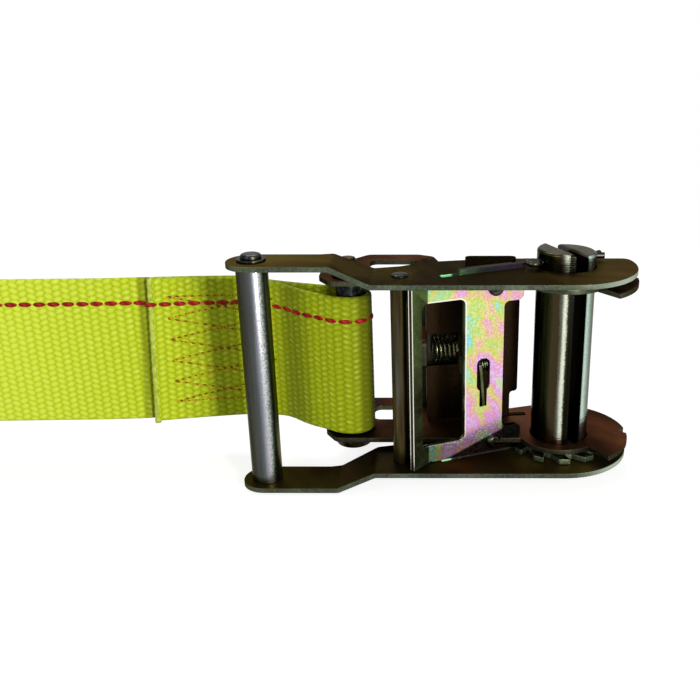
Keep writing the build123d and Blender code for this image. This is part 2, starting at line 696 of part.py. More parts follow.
# ================================================================ files
pieces = {
    "base_plate_upper": base_plate_upper,
    "base_plate_lower": base_plate_lower,
    "base_bridge": base_bridge,
    "strap_bolt": strap_bolt,
    "strap_bolt_washer": strap_bolt_washer,
    "strap_bolt_sleeve": strap_bolt_sleeve,
    "handle_plate_upper": handle_plate_upper,
    "handle_plate_lower": handle_plate_lower,
    "grip_tube": grip_tube,
    "grip_rivet": grip_rivet,
    "grip_washer": grip_washer,
    "spacer_tube": spacer_tube,
    "spacer_rivet": spacer_rivet,
    "drive_spring_seat": drive_spring_seat,
    "drive_pawl": drive_pawl,
    "pawl_stud_upper": pawl_stud_upper,
    "pawl_stud_lower": pawl_stud_lower,
    "drive_spring": drive_spring,
    "lock_pawl": lock_pawl,
    "lock_spring": lock_spring,
    "spindle_half_left": spindle_half_left,
    "spindle_half_right": spindle_half_right,
    "ratchet_wheel_upper": ratchet_wheel_upper,
    "ratchet_wheel_lower": ratchet_wheel_lower,
    "cotter_pin": cotter_pin,
    "webbing_strap": webbing_strap,
}
os.makedirs("parts", exist_ok=True)
for name, piece in pieces.items():
    piece.part.label = name
    export_step(piece.part, f"parts/{name}.step")
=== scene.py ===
# %% [markdown]
# # A ratchet tie down, dressed for its portrait
# The model is a 50 mm lashing ratchet, folded shut, on the sewn end of its strap. Its steel
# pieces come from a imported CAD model, which fixes every size and place. This lesson gives
# them eased edges and plated finishes, and adds what CAD leaves plain: the woven strap with
# its sewing, the peened rivets, the springs and the bent cotter pin. Lengths are in
# millimetres unless a comment says metres.

# %% Load the frame
import json
from math import cos, pi, radians, sin

import bmesh
import bpy
import numpy as np
from mathutils import Matrix, Vector


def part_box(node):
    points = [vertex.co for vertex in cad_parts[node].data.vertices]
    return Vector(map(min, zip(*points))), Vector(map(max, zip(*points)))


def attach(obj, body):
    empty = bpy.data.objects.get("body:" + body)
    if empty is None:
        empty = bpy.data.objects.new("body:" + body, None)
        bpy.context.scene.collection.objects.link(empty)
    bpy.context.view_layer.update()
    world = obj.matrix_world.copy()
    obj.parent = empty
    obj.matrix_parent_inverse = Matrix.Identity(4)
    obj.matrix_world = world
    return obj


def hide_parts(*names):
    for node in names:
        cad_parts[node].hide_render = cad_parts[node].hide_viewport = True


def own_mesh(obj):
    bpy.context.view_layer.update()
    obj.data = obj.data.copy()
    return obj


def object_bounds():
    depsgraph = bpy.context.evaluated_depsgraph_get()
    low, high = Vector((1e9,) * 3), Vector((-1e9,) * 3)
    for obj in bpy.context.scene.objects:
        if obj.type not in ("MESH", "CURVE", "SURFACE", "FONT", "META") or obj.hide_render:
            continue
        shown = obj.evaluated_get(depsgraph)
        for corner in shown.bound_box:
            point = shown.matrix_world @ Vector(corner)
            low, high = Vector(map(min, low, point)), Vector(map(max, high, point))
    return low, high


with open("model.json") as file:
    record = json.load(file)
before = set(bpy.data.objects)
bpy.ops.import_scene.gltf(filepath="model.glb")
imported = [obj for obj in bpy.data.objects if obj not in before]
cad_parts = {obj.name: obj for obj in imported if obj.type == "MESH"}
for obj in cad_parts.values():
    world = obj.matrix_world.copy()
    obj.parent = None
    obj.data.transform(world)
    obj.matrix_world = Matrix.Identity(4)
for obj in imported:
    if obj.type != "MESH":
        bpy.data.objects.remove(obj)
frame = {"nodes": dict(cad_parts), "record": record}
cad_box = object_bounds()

MM = 0.001


def plain(box):
    """A box as plain lists, so that it can be written to a file."""
    return [[float(x) for x in corner] for corner in box]


def placed(name, data):
    """Puts a mesh, a lamp or a camera into the scene as an object."""
    item = bpy.data.objects.new(name, data)
    bpy.context.scene.collection.objects.link(item)
    return item


def low(node):
    """The lowest corner of a CAD node's box."""
    return np.array(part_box(node)[0]) / MM


def high(node):
    """The highest corner of a CAD node's box."""
    return np.array(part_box(node)[1]) / MM


def mid(node):
    """The middle of a CAD node's box."""
    return (low(node) + high(node)) / 2


DRIVE_SLOPE, LOCK_SLOPE = 22.3, 9.0  # the pawls' planes, in degrees about Z
DRIVE_OFFSET = 3.0  # the drive pawl's plane stands this far off the axis
SLOT_DIRECTION = -65.0  # the spindle's slot, in degrees about Z
HANDLE_FACE = 31.1  # from mid-width to the outer face of a handle plate
grip_centre = mid("grip_tube")[:2]
grip_radius = (high("grip_tube") - low("grip_tube"))[0] / 2
print("CAD box in mm:", [[round(x / MM, 1) for x in c] for c in plain(cad_box)])

# %% [markdown]
# ## Where the camera stands
# The buckle is seen from its handle side, a little from above, from about 29 cm away, so near
# parts look larger. A camera can be aimed with a constraint, but three angles and a distance
# need no extra object: a turn about Z (yaw), a tip down, and a slight lean (roll).

# %% Camera
yaw, tip, lean = radians(-0.5497), radians(20.812), radians(-0.1949)
aim = Vector((-39.903, 0.0, 2.115)) * MM
distance = 286.93 * MM

ahead = Vector((sin(yaw) * cos(tip), cos(yaw) * cos(tip), -sin(tip)))
level = Vector((cos(yaw), -sin(yaw), 0.0))
upward = level.cross(ahead)
right = level * cos(lean) + upward * sin(lean)
above = upward * cos(lean) - level * sin(lean)

camera_data = bpy.data.cameras.new("camera")
camera_data.sensor_width, camera_data.lens = 36.0, 46.234286
camera_data.shift_x, camera_data.shift_y = -0.1239, 0.0044
camera_data.clip_start = 0.01
camera = placed("camera", camera_data)
turn = Matrix((right, above, -ahead)).transposed().to_4x4()
camera.matrix_world = Matrix.Translation(aim - ahead * distance) @ turn
bpy.context.scene.camera = camera
bpy.context.scene.view_settings.view_transform = "Standard"
print("camera at mm:", [round(x / MM, 1) for x in camera.location])

# %% [markdown]
# ## Shader sums written as sums
# A finish here is mostly arithmetic on places: how far along the strap, how far from a rivet,
# how much noise. Wiring Math nodes by hand hides that arithmetic. One small class wraps a
# node's output and lets `+ - * /` make the nodes, and one method, `make`, adds any other node.
# Colours and vectors go through Mix and Vector Math, because a Math node turns them grey.


# %% Sockets that can be added and multiplied
def paint(colour):
    """A colour as seen on a screen, 0 to 255, as the linear numbers that shaders use."""
    s = np.array(colour) / 255
    return tuple(float(x) for x in np.where(s <= 0.04045, s / 12.92, ((s + 0.055) / 1.055) ** 2.4))


class Socket:
    """A node's output, in a material's tree, with the operators used below."""

    def __init__(self, tree, link=None):
        self.tree, self.link = tree, link

    def make(self, kind, settings=None, out=0, **sockets):
        """Adds a node: its settings first, then the values or links of its sockets."""
        node = self.tree.nodes.new(kind)
        for key, value in (settings or {}).items():
            if key == "stops":
                ramp = node.color_ramp
                while len(ramp.elements) < len(value):
                    ramp.elements.new(1.0)
                for element, (place, colour) in zip(ramp.elements, value):
                    element.position, element.color = place, (*colour, 1.0)
            else:
                setattr(node, key, value)
        for key, value in sockets.items():
            socket = node.inputs[int(key[1:]) if key[1:].isdigit() else key.replace("_", " ")]
            if isinstance(value, Socket):
                self.tree.links.new(value.link, socket)
            else:
                socket.default_value = value
        return Socket(self.tree, node.outputs[out])

    def math(self, operation, other=0.0):
        """One Math node on this value."""
        return self.make("ShaderNodeMath", {"operation": operation}, i0=self, i1=other)

    def __add__(self, other):
        return self.math("ADD", other)

    def __sub__(self, other):
        return self.math("SUBTRACT", other)

    def __rsub__(self, other):
        return self.make("ShaderNodeMath", {"operation": "SUBTRACT"}, i0=other, i1=self)

    def __mul__(self, other):
        return self.math("MULTIPLY", other)

    def __truediv__(self, other):
        return self.math("DIVIDE", other)

    __radd__, __rmul__ = __add__, __mul__

    def clip(self):
        """The value held between 0 and 1."""
        return self.make("ShaderNodeClamp", i0=self)

    def step(self, low, high):
        """A smooth rise from 0 at low to 1 at high."""
        smooth = {"interpolation_type": "SMOOTHSTEP"}
        return self.make("ShaderNodeMapRange", smooth, i0=self, i1=low, i2=high)

    def within(self, middle, full, none):
        """1 as far as `full` on both sides of a middle, falling smoothly to 0 at `none`."""
        return 1.0 - (self - middle).math("ABSOLUTE").step(full, none)

    def place(self):
        """Where a point lies on its own object, in metres, so a finish travels with it."""
        return self.make("ShaderNodeTexCoord", out=3)

    def normal(self):
        """Which way the surface faces, on its own object."""
        return self.make("ShaderNodeTexCoord", out=1)

    def parts(self):
        """The three numbers of a vector."""
        outputs = self.make("ShaderNodeSeparateXYZ", i0=self).link.node.outputs
        return [Socket(self.tree, output) for output in outputs]

    def stretch(self, x, y, z):
        """A vector scaled by different amounts along its axes."""
        return self.make("ShaderNodeVectorMath", {"operation": "MULTIPLY"}, i0=self, i1=(x, y, z))

    def millimetres(self):
        """The three numbers of a place in metres, turned into mm."""
        return self.stretch(1 / MM, 1 / MM, 1 / MM).parts()

    def noise(self, size, detail=2.0, rough=0.55, warp=0.0):
        """Cloudy noise whose blotches are about `size` mm wide, on a place in metres."""
        return self.make("ShaderNodeTexNoise", Vector=self, Scale=0.6 / (size * MM),
                         Detail=detail, Roughness=rough, Distortion=warp)

    def bump(self, strength, depth):
        """A normal tilted by this value as a height, `depth` metres from 0 to 1."""
        return self.make("ShaderNodeBump", Strength=strength, Distance=depth, Height=self)

    def ramp(self, *stops):
        """Colours by value: (place, colour) pairs."""
        stops = [(place, paint(colour)) for place, colour in stops]
        return self.make("ShaderNodeValToRGB", {"stops": stops}, i0=self)

    def shares(self, *stops):
        """Greys by value: (place, share) pairs."""
        stops = [(place, (share, share, share)) for place, share in stops]
        return self.make("ShaderNodeValToRGB", {"stops": stops}, i0=self)

    def tint(self, under, over):
        """Mixes two colours, this value being the share of the second."""
        under, over = [c if isinstance(c, Socket) else (*paint(c), 1.0) for c in (under, over)]
        return self.make("ShaderNodeMix", {"data_type": "RGBA"}, out=2, i0=self, i6=under, i7=over)


def finish(name, **fixed):
    """A new material with some fixed shader values, and a socket to start its nodes from."""
    material = bpy.data.materials.new(name)
    material.use_nodes = True
    shader = material.node_tree.nodes["Principled BSDF"]
    for key, value in fixed.items():
        shader.inputs[key.replace("_", " ")].default_value = value
    return material, Socket(material.node_tree)


def feed(material, **sockets):
    """Links values to the inputs of a material's shader, by name."""
    tree = material.node_tree
    for key, value in sockets.items():
        tree.links.new(value.link, tree.nodes["Principled BSDF"].inputs[key.replace("_", " ")])


# %% [markdown]
# ## Passivated zinc on pressed steel
# The buckle is zinc plated and dipped in a chromate bath. The thin film left behind splits
# light, so the metal shows drifting gold, green, pink and blue. A thin-film shader would need
# the viewing angle; colour driven by noise stays on the metal from every side. Each pressing
# gets its own tone: the handle is dark olive, the base is brown, and the drive pawl is bright
# and rainbow-like. Cut edges are greyer than flat faces.


# %% Plated sheet steel
def plated(name, dark, light, film, edge=(74, 84, 70), patch=9.0, darkest=None, slot=None):
    """Zinc-plated sheet: a cloudy mix of two tones, a faint film colour, and greyer cut edges.

    The edge mask is one minus the size of the normal's part along Z, which every plate faces.
    `darkest` is a place along X where the tone is lowest; the plate grows lighter away from it.
    `slot` gives the middle and half size, along X and Y, of a slot whose sides get a painted
    highlight of pale mint;
    that plate's cut edges also get a painted highlight, paler towards its round end.
    A dark tint at grazing angles keeps the film's depth, since oxide is not a clean mirror."""
    material, start = finish(name, Metallic=0.95, Specular_IOR_Level=0.3,
                             Specular_Tint=(0.3, 0.28, 0.2, 1.0))
    place = start.place()
    x, y, _ = place.millimetres()
    cloud = place.noise(patch, detail=4.0, warp=0.6)
    lightness = cloud.step(0.38, 0.66)
    if darkest is not None:
        lightness = lightness * 0.4 + (x - darkest).math("ABSOLUTE").step(6.0, 62.0) * 0.6
    hue = place.noise(patch * 0.8, detail=3.0, warp=1.2).ramp(
        (0.30, (70, 82, 30)), (0.42, (104, 72, 26)), (0.52, (92, 44, 44)),
        (0.60, (50, 52, 80)), (0.70, (46, 84, 56)))
    film_share = place.noise(patch * 1.7).step(0.42, 0.72) * film
    coloured = film_share.tint(lightness.tint(dark, light), hue)

    speckle = place.noise(0.5, detail=1.0).step(0.3, 0.75)
    streak = place.stretch(1.0, 1.0, 0.3).noise(7.0).step(0.4, 0.7)
    cut_tone = (speckle * 0.5 + streak * 0.5).tint(
        [c * 0.72 for c in edge], [c * 1.18 for c in edge])
    if slot is not None:
        mid_x, mid_y, half_x, half_y = slot
        # Painted highlights: pale mint on the slot's sides, and paler cut edges towards the plate's
        # round end.
        slot_wall_highlight = x.within(mid_x, half_x - 0.4, half_x) * y.within(mid_y, half_y - 0.4, half_y)
        end_edge_highlight = x.step(2.0, 20.0)
        cut_tone = end_edge_highlight.tint(cut_tone, (190, 204, 188))
        cut_tone = slot_wall_highlight.tint(cut_tone, (170, 255, 186))
    cut = 1.0 - start.normal().parts()[2].math("ABSOLUTE").step(0.35, 0.8)
    grain = place.noise(0.55) * 0.6 + place.noise(0.16, detail=1.0) * 0.4
    feed(material, Base_Color=(cut * 0.9).tint(coloured, cut_tone),
         Roughness=cloud * 0.14 + 0.3 + speckle * 0.05, Normal=grain.bump(0.18, 0.00004))
    return material


handle_finish = plated("handle_olive_zinc", (38, 30, 11), (92, 82, 46), film=0.14, patch=20.0,
                       darkest=-42.0, slot=(-35.2, -13.4, 3.6, 3.6))
base_finish = plated("base_brown_zinc", (46, 32, 20), (94, 64, 48), film=0.16,
                     edge=(66, 70, 54), patch=20.0)
wheel_finish = plated("wheel_zinc", (20, 19, 11), (70, 68, 48), film=0.3, edge=(118, 134, 106))
# The lock pawl's tones are kept near black as painted shade, for where it sits deep inside the
# frame behind the drive pawl's window.
lock_finish = plated("lock_pawl_shaded_zinc", (12, 7, 5), (40, 28, 18), film=0.22, edge=(34, 24, 12))

# %% [markdown]
# ## The rainbow on the drive pawl
# The drive pawl is the brightest piece. Its film drifts through lemon, green, pink, lilac and
# pale cyan. One stretched noise picks the colour in slanting bands, and two finer ones shift
# it, which breaks the bands' borders as the real film does.

# %% The film's colours
FLANGE_ROOT, FLANGE_BEND = 44.9, 30.0  # where the flange starts along the pawl, and its bend
EAR_ROOT = 29.4  # where the ears start, from mid-width
PANEL_FRONT, PANEL_HALF = 19.5, 29.15  # the broad part's near end and half height
WINDOW_FRONT, WINDOW_HALF, WINDOW_ROUND = 32.6, 23.4, 2.0
# The pale colour is for painted highlights on the drive pawl's edge lines, the dark one for painted
# shade on its wing and upper ears.
HIGHLIGHT_METAL, SHADE_METAL = (232, 232, 218), (44, 40, 20)


def film_colours(place, reach, height, fine, mottle):
    """The film's hues in slanting bands, shifted by a fine and a coarser mottle."""
    slant = place.make("ShaderNodeMapping", Vector=place, Rotation=(0.0, 0.6, 0.0),
                       Scale=(1.0, 1.0, 0.5))
    drift = (slant.noise(11.0, detail=3.0, warp=1.6) + (fine - 0.5) * 0.22 + (mottle - 0.5) * 0.42
             - height * 0.0028 + (26.4 - reach) * 0.009 + 0.05)
    return drift.ramp(
        (0.30, (116, 200, 204)), (0.38, (164, 202, 96)), (0.45, (198, 196, 84)),
        (0.50, (214, 172, 134)), (0.55, (218, 138, 196)), (0.61, (208, 164, 226)),
        (0.67, (202, 208, 122)), (0.74, (140, 200, 208)))


def flange_colours(x, y, normal, olive):
    """The flange's olive faces, painted shade for a bent face that mirrors dark surroundings, and
    its cut end: dark, with a painted highlight along each edge.
    """
    bend = radians(FLANGE_BEND)
    lean = radians(DRIVE_SLOPE) + bend
    facing = (normal[0] * sin(lean) - normal[1] * cos(lean)).math("ABSOLUTE").step(0.05, 0.5)
    through = x * sin(lean) - y * cos(lean) + FLANGE_ROOT * sin(bend) + DRIVE_OFFSET * cos(bend)
    cut_end = through.math("ABSOLUTE").step(0.42, 0.56).tint((44, 36, 28), HIGHLIGHT_METAL)
    return facing.tint(cut_end, olive)


def ear_colours(reach, depth, height, normal):
    """The ears: bars that run from lilac to mint, the mint end being a painted highlight, and folds
    with painted shade that deepens with depth and turns dark on the upper ears.
    """
    # Painted highlight at the bar's mint end; painted shade in the folds.
    bar = ((reach - 14.0) / 22.0).ramp(
        (0.2, (92, 70, 96)), (0.6, (70, 82, 76)), (0.9, (110, 150, 110)), (0.97, (150, 226, 164)))
    fold = (depth / 8.0).ramp(
        (0.03, (204, 172, 192)), (0.3, (128, 90, 118)), (0.62, (50, 44, 26)))
    fold = height.step(0.0, 10.0).tint(fold, SHADE_METAL)
    return normal[2].math("ABSOLUTE").step(0.3, 0.7).tint(bar, fold)


def window_highlight_line(reach, height):
    """1 on a thin line round the window, where a painted highlight goes. The distance from its
    rounded rectangle is sqrt(a^2 + b^2) - round, with a and b how far a point is past a corner's
    centre."""
    a = (WINDOW_FRONT + WINDOW_ROUND - reach).math("MAXIMUM", 0.0)
    b = (height.math("ABSOLUTE") - (WINDOW_HALF - WINDOW_ROUND)).math("MAXIMUM", 0.0)
    return 1.0 - ((a * a + b * b).math("SQRT") - WINDOW_ROUND).step(0.32, 0.48)


# %% Bright film for the drive pawl
def rainbow(name):
    """Bright passivated sheet. Three sums place each point: reach along the pawl,
    -(x cos slope + y sin slope); depth before its plane, x sin slope - y cos slope + offset;
    and height z. The front face is bright. The flange, the ears, the spring's tab and all that
    lies behind stay darker; the flange's olive, the ears' folds and the wing are painted shade,
    the pale line round the window is a painted highlight, and a strip of painted shade, where the
    panel mirrors the dark lower handle plate, runs along the lower edge."""
    material, start = finish(name, Metallic=0.8, Specular_Tint=(0.3, 0.28, 0.22, 1.0))
    place = start.place()
    x, y, height = place.millimetres()
    normal = start.normal().parts()
    c, s = cos(radians(DRIVE_SLOPE)), sin(radians(DRIVE_SLOPE))
    reach = x * -c - y * s
    depth = x * s - y * c + DRIVE_OFFSET
    front = depth.step(0.3, 0.6)
    bent = reach.step(FLANGE_ROOT - 0.2, FLANGE_ROOT + 0.2)
    eared = height.math("ABSOLUTE").step(EAR_ROOT - 0.6, EAR_ROOT + 0.6)
    wing = eared * (1.0 - depth.step(-1.6, -1.2))
    spring_tab = reach.within(26.4, 1.1, 1.3) * height.within(-4.7, 7.9, 8.3)

    fine = place.noise(0.8, detail=3.0, rough=0.7)
    mottle = place.noise(3.4, detail=3.0, rough=0.6, warp=0.6)
    speckle = place.noise(0.34, detail=1.0).step(0.35, 0.7)
    bands = film_colours(place, reach, height, fine, mottle)
    bright = (speckle * 0.3).tint(bands, (240, 236, 222))
    # Painted shade: the olive, greener upwards, darkens the flange and the faces behind the front,
    # which mirror dark surroundings; the wing takes the dark shade colour.
    olive = mottle.step(0.35, 0.65).tint((56, 62, 34), (94, 102, 70))
    olive = (height.step(-10.0, 30.0) * 0.6).tint(olive, (74, 98, 42))
    shaded_parts = bent.tint(olive, flange_colours(x, y, normal, olive))
    shaded_parts = wing.tint(eared.tint(shaded_parts, ear_colours(reach, depth, height, normal)), SHADE_METAL)
    tone = (bent + eared + spring_tab + (1.0 - front)).clip().tint(bright, shaded_parts)
    # Painted highlight: a pale line round the window's edge.
    rim = window_highlight_line(reach, height) * ((1.0 - bent) * front)
    tone = (rim * 0.9).tint(tone, HIGHLIGHT_METAL)

    # Painted shade: below a slanting line along the lower edge, and on the narrow arm, the panel is
    # darkened where it mirrors the dark lower handle plate.
    below = ((39.4 - reach) * 0.375 - PANEL_HALF - height).step(-0.4, 0.6)
    arm = 1.0 - reach.step(PANEL_FRONT - 0.2, PANEL_FRONT + 0.2)
    mirrored_shade = (below + arm * (1.0 - height.step(-10.0, 0.0))).clip() * ((1.0 - eared) * (1.0 - bent))
    mirrored_shade_tone = (reach / 44.0).ramp(
        (0.42, (30, 25, 14)), (0.6, (62, 56, 30)), (0.78, (84, 62, 66)))
    feed(material, Base_Color=(mirrored_shade * 0.92).tint(tone, mirrored_shade_tone),
         Roughness=speckle * 0.12 + 0.15, Metallic=(wing + mirrored_shade).clip() * 0.2 + 0.8,
         Normal=fine.bump(0.2, 0.00003))
    return material


panel_finish = rainbow("pawl_rainbow_zinc")

# %% [markdown]
# ## Turned bars, pins and wire
# The grip tube, the spindle and the bolts are drawn or turned, so their plating is smoother and
# carries fine lines round or along the bar. A stretched noise gives those lines, and a low
# base colour with a soft gloss lets the lamps draw a round bar's long highlight. On the grip
# tube and the spindle, bright streaks and dark sides are also painted into the colour by
# direction round the bar: painted highlights and painted shade.


# %% Drawn bar and wire
def drawn(name, dark, light, rough, along=0.04, film=0.2, groove=0.00005, rings=None, ragged=0.02):
    """Plated bar stock with faint film colours, lines drawn out along Z (the less `along` is,
    the longer), and grooves round it, `groove` metres deep, which draw reflections lengthways.

    `rings` gives (centre x, centre y, radius, stops): the colour by direction round the bar,
    atan2(x - cx, cy - y) from -180 to 180 degrees with 0 in front. The stops are painted
    highlights and painted shade: bright streaks where a lamp would shine, and darker sides."""
    material, start = finish(name, Metallic=1.0, Specular_Tint=(0.6, 0.6, 0.55, 1.0))
    place = start.place()
    lines = place.stretch(1.0, 1.0, along).noise(0.6)
    cloud = place.stretch(1.0, 1.0, along * 2.0).noise(3.4, warp=0.2)
    tone = (lines * 0.5 + cloud * 0.5).step(0.36, 0.66).tint(dark, light)
    hue = place.stretch(1.0, 1.0, along * 3.0).noise(4.0, warp=0.3).ramp(
        (0.34, (110, 124, 70)), (0.46, (150, 134, 84)), (0.54, (126, 88, 110)),
        (0.64, (96, 122, 150)))
    coloured = (cloud.step(0.4, 0.7) * film).tint(tone, hue)
    grit = place.noise(0.3)
    if rings:
        centre_x, centre_y, radius, stops = rings
        x, y, _ = place.millimetres()
        across, before = x - centre_x, centre_y - y
        # Painted highlights and painted shade: the colour is set by direction round the bar.
        bearing = (across.math("ARCTAN2", before) / (2 * pi) + 0.5
                   + (grit - 0.5) * ragged + (lines - 0.5) * 0.02)
        highlight_band = bearing.ramp(*[(turn / 360.0 + 0.5, colour) for turn, colour in stops])
        flecked = (grit.step(0.4, 0.62) * ragged * 7.0).tint(highlight_band, (52, 54, 50))
        skin = (across * across + before * before).math("SQRT").step(radius - 0.6, radius - 0.2)
        coloured = (skin * 0.85).tint(coloured, flecked)
    grooves = place.stretch(0.08, 0.08, 1.0).noise(0.32)
    feed(material, Base_Color=coloured, Roughness=cloud * 0.1 + rough,
         Normal=(grooves * 0.7 + grit * 0.3).bump(0.7, groove))
    return material


# Painted highlights and painted shade round the grip tube and the spindle, by direction in degrees:
# bright streaks where a lamp would shine, dark sides beside them.
grip_painted_light = [
    (-110, (44, 42, 20)), (-76, (84, 88, 22)), (-60, (52, 52, 18)), (-45, (34, 32, 20)),
    (-20, (64, 64, 58)), (3, (84, 90, 94)), (13, (140, 144, 154)), (26, (206, 202, 212)),
    (34, (186, 194, 184)), (44, (96, 108, 98)), (54, (50, 56, 42)), (67, (104, 114, 42)),
    (84, (78, 84, 22)), (112, (44, 42, 20))]
spindle_painted_light = [
    (-82, (16, 14, 6)), (-60, (18, 16, 5)), (-47, (36, 46, 18)), (-36, (28, 34, 13)),
    (-29, (60, 52, 28)), (-17, (58, 48, 33)), (-11, (112, 114, 98)), (-6, (238, 244, 224)),
    (-3, (200, 208, 180)), (0, (50, 50, 36)), (3, (9, 9, 4)), (27, (14, 14, 8)),
    (35, (64, 76, 60)), (44, (208, 234, 220)), (54, (152, 168, 156)), (68, (60, 66, 50)),
    (90, (24, 22, 10))]
tube_finish = drawn(
    "grip_tube_zinc", (58, 60, 54), (112, 116, 112), rough=0.24, groove=0.00012,
    rings=(*map(float, grip_centre), float(grip_radius), grip_painted_light), ragged=0.06)
spacer_finish = drawn("spacer_zinc", (44, 38, 22), (78, 68, 34), rough=0.28)
spindle_finish = drawn("spindle_zinc", (12, 11, 5), (52, 46, 28), rough=0.16, film=0.12,
                       groove=0.00008, rings=(0.0, 0.0, 9.0, spindle_painted_light))
pin_finish = drawn("rivet_zinc", (18, 20, 20), (50, 54, 54), rough=0.26, along=1.0)
bolt_finish = drawn("bolt_zinc", (22, 16, 9), (64, 50, 34), rough=0.28, along=1.0)
spring_finish = drawn("spring_wire", (70, 72, 44), (130, 134, 100), rough=0.22, along=1.0)
print("finishes:", len(bpy.data.materials))

# %% [markdown]
# ## Easing the pressed edges
# A punched plate has a slightly rolled edge, and that thin line of light is what makes sheet
# metal look real. The CAD meshes are loose triangles with knife edges. Each plate is copied
# and cleaned, and a small Bevel follows every sharp edge. The copy then stands for the CAD
# node. The drive pawl's domed studs are eased in the same way.


# %% Copies with eased edges
def dressed(name, mesh, material, gap=1e-7, flat=None):
    """Makes a mesh a smooth object with one finish: points within `gap` metres are merged, faces
    within `flat` degrees of each other are joined if it is given, and all turn outwards."""
    work = bmesh.new()
    work.from_mesh(mesh)
    bmesh.ops.remove_doubles(work, verts=work.verts, dist=gap)
    if flat is not None:
        bmesh.ops.dissolve_limit(work, angle_limit=radians(flat), verts=work.verts,
                                 edges=work.edges)
    bmesh.ops.recalc_face_normals(work, faces=work.faces)
    for face in work.faces:
        face.smooth = True
    work.to_mesh(mesh)
    work.free()
    mesh.name = name
    mesh.materials.clear()
    mesh.materials.append(material)
    return placed(name, mesh)


def stand_for(piece, body, slot, *nodes):
    """Lets a piece ride a body, and hides the CAD nodes that it stands for. `slot` is not used."""
    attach(piece, body)
    if nodes:
        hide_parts(*nodes)
    return piece


def eased(node, body, slot, material, width):
    """A copy of a CAD node with its sharp edges rounded by `width`."""
    mesh = frame["nodes"][node].data.copy()
    piece = dressed(node + "_eased", mesh, material, gap=2e-6, flat=0.6)
    bevel = piece.modifiers.new("eased edge", "BEVEL")
    bevel.width, bevel.segments = width * MM, 2
    bevel.limit_method, bevel.angle_limit = "ANGLE", radians(32)
    bevel.miter_outer = "MITER_ARC"
    even = piece.modifiers.new("even faces", "WEIGHTED_NORMAL")
    even.mode, even.weight = "FACE_AREA", 90
    return stand_for(piece, body, slot, node)


# body, slot, finish, width of the eased edges, CAD nodes
pressed = [
    ("handle", "handle_steel", handle_finish, 0.18,
     "handle_plate_upper handle_plate_lower drive_spring_seat"),
    ("base", "base_steel", base_finish, 0.18, "base_plate_upper base_plate_lower base_bridge"),
    ("drive_pawl", "pawl_steel", panel_finish, 0.42, "drive_pawl"),
    ("drive_pawl", "pawl_steel", pin_finish, 0.1, "pawl_stud_upper pawl_stud_lower"),
    ("lock_pawl", "base_steel", lock_finish, 0.18, "lock_pawl"),
    ("spindle", "spindle_steel", wheel_finish, 0.18, "ratchet_wheel_upper ratchet_wheel_lower"),
    ("spindle", "spindle_steel", spindle_finish, 0.18, "spindle_half_left spindle_half_right"),
    ("handle", "pin_steel", pin_finish, 0.18, "grip_washer"),
    ("base", "pin_steel", pin_finish, 0.18, "strap_bolt_washer"),
]
for body, slot_name, material, width, nodes in pressed:
    for node in nodes.split():
        piece = eased(node, body, slot_name, material, width)
        print("eased", node, len(piece.data.polygons), "faces")

# %% [markdown]
# ## Round pieces from one turned profile
# Tubes, rivets and bolts are bodies of revolution: a profile of (radius, height) pairs carried
# round an axis. Blender has a Spin tool, but rings worked out in numpy give clean quads and
# closed poles at once, and the profile reads like a lathe drawing.


# %% Rings into meshes
def loft(name, rings, material, capped=False):
    """A skin over rings of points in mm, an array of shape (..., rings, points, 3). Each ring is
    closed, each stack of rings is a skin of its own, and `capped` closes a stack's two ends."""
    index = np.arange(rings[..., 0].size).reshape(rings.shape[:-1])
    loop = np.concatenate([index, index[..., :1]], axis=-1)
    quads = [loop[..., :-1, :-1], loop[..., 1:, :-1], loop[..., 1:, 1:], loop[..., :-1, 1:]]
    faces = np.stack(quads, axis=-1).reshape(-1, 4).tolist()
    if capped:
        faces += [index[0].tolist(), index[-1][::-1].tolist()]
    mesh = bpy.data.meshes.new(name)
    mesh.from_pydata((rings.reshape(-1, 3) * MM).tolist(), [], faces)
    return dressed(name, mesh, material)


def rounded(profile, radius):
    """Rounds a profile's inner corners: each becomes a quadratic curve between points `radius`
    away on both its sides (start, corner and end blended as (1-t)^2, 2t(1-t), t^2)."""
    p = np.asarray(profile, float)
    t = np.linspace(0, 1, 5)[:, None]
    out = [p[:1]]
    for before, corner, after in zip(p[:-2], p[1:-1], p[2:]):
        a, b = before - corner, after - corner
        r = min(radius, 0.45 * np.linalg.norm(a), 0.45 * np.linalg.norm(b))
        start, end = corner + a / np.linalg.norm(a) * r, corner + b / np.linalg.norm(b) * r
        out.append((1 - t) ** 2 * start + 2 * t * (1 - t) * corner + t ** 2 * end)
    return np.vstack(out + [p[-1:]])


def turned(name, centre, profile, material, sides=64, soft=0.3):
    """A body of revolution: x = cx + r cos a, y = cy + r sin a, z = z of the profile."""
    r, z = rounded(profile, soft).T[:, :, None]
    a = np.linspace(0, 2 * pi, sides, endpoint=False)
    rings = [centre[0] + r * np.cos(a), centre[1] + r * np.sin(a), z + 0 * a]
    return loft(name, np.stack(rings, axis=-1), material)


# %% [markdown]
# ## Grip tube, spacer and rivets
# The grip is a tube held between the handle's narrow ends by one long rivet, with a washer
# under its formed head. Real rivet heads are low domes with a soft rim, and the tubes' rims
# are rolled slightly, which catches a thin line of light.


# %% Grip and spacer
def tube_profile(outer, bore, reach):
    """Outline of a tube's wall from its inner bottom, round the rims, back to the start."""
    return [(bore, 0), (bore, -reach), (outer, -reach), (outer, reach), (bore, reach), (bore, 0)]


